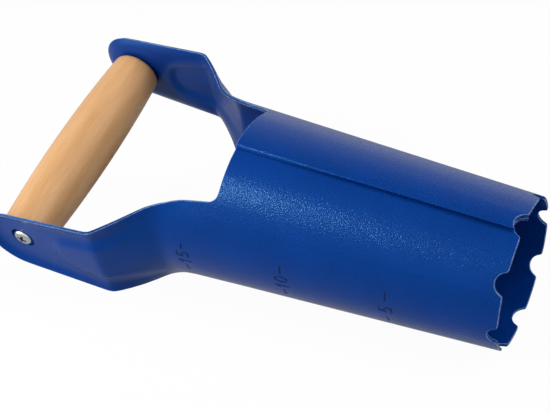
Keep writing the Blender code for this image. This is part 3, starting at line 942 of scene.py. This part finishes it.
# %% Floor
FLOOR_HALF = 6.0
FLOOR_GREY = 0.70
GLOW_SHARE = 0.96
FLOOR_MIRRORED = 0.46
SHADED_MIRRORED = 0.05
SHADE_PLACE = (-72 * MM, 58 * MM, 0)
SHADE_CORE = 22 * MM
SHADE_EDGE = 52 * MM


def background_rays(tree):
    """1 for the rays that see the background: from the camera, from gloss and through glass."""
    rays = add_node(tree, "ShaderNodeLightPath").outputs
    reflected = add_math(tree, "MAXIMUM", rays["Is Glossy Ray"], rays["Is Transmission Ray"])
    return add_math(tree, "MAXIMUM", rays["Is Camera Ray"], reflected)


def mirrored_strength(tree):
    """How bright gloss sees the floor, with the far arm's painted shadow."""
    place = add_node(tree, "ShaderNodeTexCoord").outputs["Object"]
    away = add_node(tree, "ShaderNodeVectorMath", operation="DISTANCE")
    away.inputs[1].default_value = SHADE_PLACE
    tree.links.new(place, away.inputs[0])
    return add_range(tree, away.outputs["Value"], SHADE_CORE, SHADE_EDGE, SHADED_MIRRORED,
                     FLOOR_MIRRORED, "SMOOTHSTEP")


def floor_finish():
    material, tree, shader = new_material("white_floor")
    shader.inputs["Base Color"].default_value = (*grey(FLOOR_GREY), 1)
    shader.inputs["Roughness"].default_value = 1.0
    shader.inputs["Specular IOR Level"].default_value = 0.0
    direct = add_node(tree, "ShaderNodeLightPath").outputs["Is Camera Ray"]
    glow = add_node(tree, "ShaderNodeEmission")
    strength = add_range(tree, direct, 0.0, 1.0, mirrored_strength(tree), 1.0)
    tree.links.new(strength, glow.inputs["Strength"])
    share = add_math(tree, "MULTIPLY", background_rays(tree), GLOW_SHARE)
    mix = add_node(tree, "ShaderNodeMixShader")
    tree.links.new(share, mix.inputs["Fac"])
    tree.links.new(shader.outputs["BSDF"], mix.inputs[1])
    tree.links.new(glow.outputs["Emission"], mix.inputs[2])
    tree.links.new(mix.outputs["Shader"], tree.nodes["Material Output"].inputs["Surface"])
    return material


ground = bmesh.new()
bmesh.ops.create_grid(ground, x_segments=1, y_segments=1, size=FLOOR_HALF)
floor_mesh = bpy.data.meshes.new("floor")
ground.to_mesh(floor_mesh)
ground.free()
floor_mesh.materials.append(floor_finish())
floor = bpy.data.objects.new("floor", floor_mesh)
bpy.context.scene.collection.objects.link(floor)
print(f"the floor is {2 * FLOOR_HALF:.0f} m wide")

# %% [markdown]
# ## The world
#
# The world looks like white walls all round the tool under a dark ceiling. A glossy side that
# mirrors a wall has a pale veil, and one that mirrors the ceiling shows its own deep colour. The
# z of a direction is the sine of its height, so the walls end at about 55 degrees and the
# ceiling is fully dark from 76 degrees. As a light the world is an even, weak fill.

# %% World
WHITE_UP_TO = 0.82
DARK_ABOVE = 0.97
CEILING = 0.07
FILL = 0.27

world = bpy.data.worlds.new("studio")
bpy.context.scene.world = world
world.use_nodes = True
tree = world.node_tree
background = tree.nodes["Background"]
background.inputs["Color"].default_value = (1, 1, 1, 1)
split = add_node(tree, "ShaderNodeSeparateXYZ")
direction = add_node(tree, "ShaderNodeTexCoord").outputs["Generated"]
tree.links.new(direction, split.inputs["Vector"])
backdrop = add_range(tree, split.outputs["Z"], WHITE_UP_TO, DARK_ABOVE, 1.0, CEILING)
strength = add_range(tree, background_rays(tree), 0.0, 1.0, FILL, backdrop)
tree.links.new(strength, background.inputs["Strength"])
print("fill:", FILL, "ceiling:", CEILING)

# %% [markdown]
# ## Lamps
#
# The key lamp stands on the left, high enough to leave a long band of bright grains on the tube.
# A weak lamp stands low on the left, close to the arms. A wide lamp overhead and one on the
# right soften the shadows. Gloss doesn't see those two, so they leave no band of their own.

# %% Lamps
def add_lamp(name, azimuth, elevation, distance, size, brightness, mirrored=True):
    """A square soft lamp that faces the tool. Its brightness is what a mirror would show."""
    lamp = bpy.data.lights.new(name, "AREA")
    lamp.shape = "SQUARE"
    lamp.size = size
    lamp.energy = brightness * math.pi * size * size
    thing = bpy.data.objects.new(name, lamp)
    bpy.context.scene.collection.objects.link(thing)
    turn = Matrix.Rotation(math.radians(azimuth), 4, "Z") @ Matrix.Rotation(
        math.radians(90 - elevation), 4, "X")
    thing.matrix_world = turn @ Matrix.Translation((0, 0, distance))
    thing.visible_glossy = mirrored
    print(f"{name}: {lamp.energy:.1f} W")


add_lamp("key_lamp", azimuth=-30, elevation=35.5, distance=1.3, size=0.24, brightness=46.0)
add_lamp("left_lamp", azimuth=-49, elevation=12, distance=0.47, size=0.3, brightness=4.2)
add_lamp("top_lamp", azimuth=0, elevation=85, distance=1.6, size=1.2, brightness=1.4, mirrored=False)
add_lamp("right_lamp", azimuth=100, elevation=50, distance=1.6, size=1.2, brightness=3.0, mirrored=False)

# %% [markdown]
# ## The camera
#
# The camera was fitted to the tool's own lines: the two ends of the tube, the arms' corners and
# the grip. It stands about 0.6 m away, on the side of the tube's mouth, and looks down by 30
# degrees.

# %% Camera
CAMERA_AZIMUTH = 27.713
CAMERA_ELEVATION = 30.136
CAMERA_ROLL = -1.574
CAMERA_PLACE = (0.23830, -0.44727, 0.33385)
CAMERA_LENS = 79.795
CAMERA_SENSOR = 36.0

camera_data = bpy.data.cameras.new("camera")
camera_data.sensor_width = CAMERA_SENSOR
camera_data.lens = CAMERA_LENS
camera = bpy.data.objects.new("camera", camera_data)
bpy.context.scene.collection.objects.link(camera)
camera.matrix_world = (Matrix.Translation(CAMERA_PLACE)
                       @ Matrix.Rotation(math.radians(CAMERA_AZIMUTH), 4, "Z")
                       @ Matrix.Rotation(math.radians(90 - CAMERA_ELEVATION), 4, "X")
                       @ Matrix.Rotation(math.radians(CAMERA_ROLL), 4, "Z"))
bpy.context.scene.camera = camera
bpy.context.scene.view_settings.view_transform = "Standard"
print(f"the camera is {Vector(CAMERA_PLACE).length:.2f} m from the floor's middle")

# %% [markdown]
# ## Finish
#
# The last step brings the scene up to date.

# %% Finish
bpy.context.view_layer.update()
